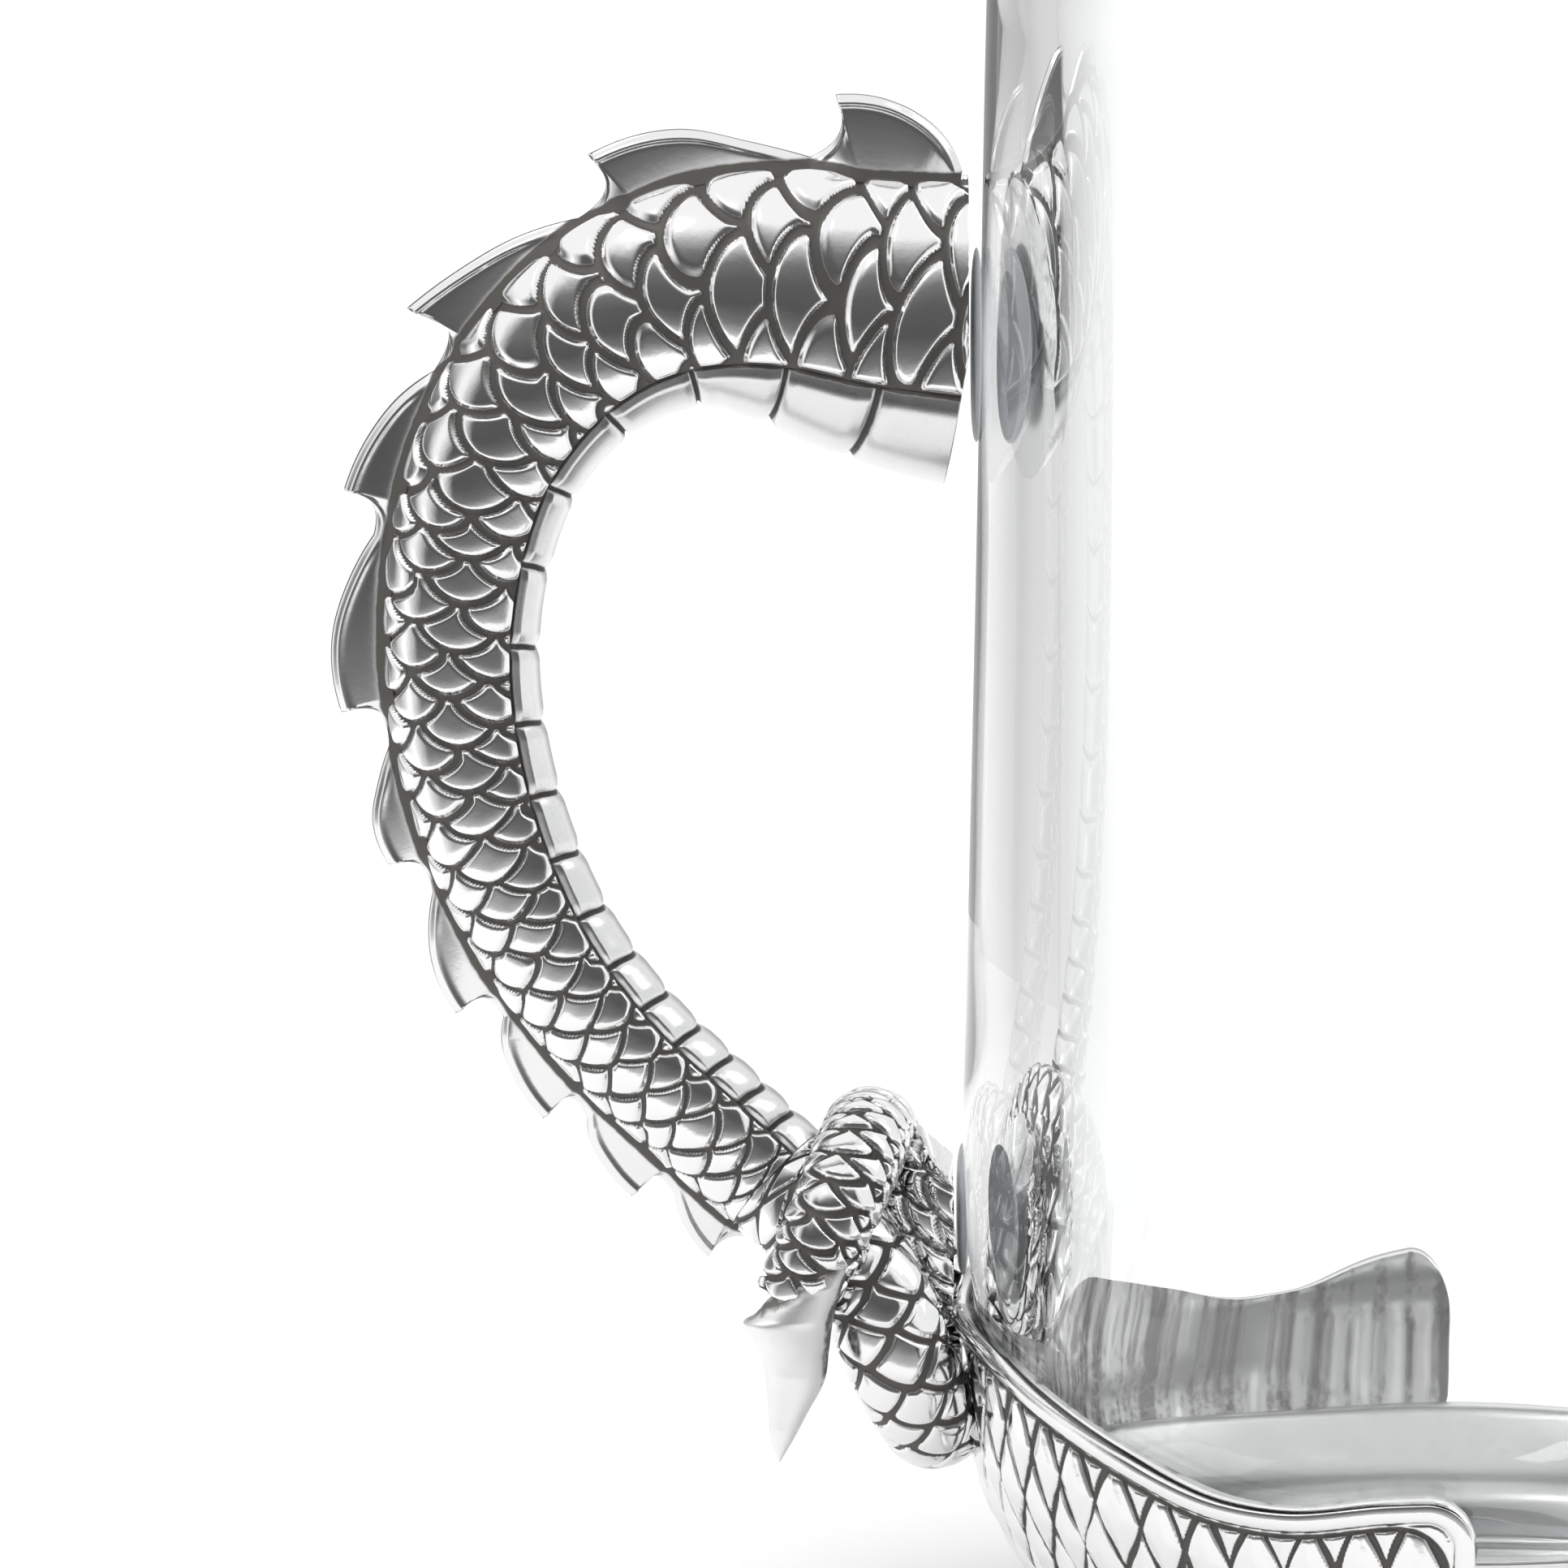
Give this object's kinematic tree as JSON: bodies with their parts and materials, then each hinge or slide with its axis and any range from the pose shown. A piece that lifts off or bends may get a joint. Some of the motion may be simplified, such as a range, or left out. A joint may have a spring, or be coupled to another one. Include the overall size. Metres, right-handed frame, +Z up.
{
  "type": "glass tankard with pewter handle",
  "caption": "Thick-walled glass tankard in a cast pewter base, with a scaled handle cast as a dragon's tail that is knotted round a post.",
  "frame": {"origin": "centre of the base's underside, on the axis of the glass", "axes": "+Z up along the axis of the glass, -X towards the handle, +Y across the handle"},
  "size_m": [0.1433, 0.0882, 0.164],
  "materials": {
    "pewter": "polished cast pewter with dark oxide left in the grooves",
    "dark_pewter": "satin cast pewter",
    "glass": "clear and polished",
    "clear_bond": "clear set resin",
    "felt": "felt"
  },
  "bodies": {
    "root": {"glass_body": "glass", "base_dish": "dark_pewter", "scale_saddle": "pewter", "glass_bedding": "clear_bond", "foot_pad": "felt", "tail_arch": "pewter", "belly_plates": "pewter", "dorsal_crest": "pewter", "tail_coil_lower": "pewter", "tail_coil_upper": "pewter", "tail_spade": "pewter", "handle_post": "pewter", "upper_bond": "clear_bond", "lower_bond": "clear_bond"}
  },
  "joints": []
}
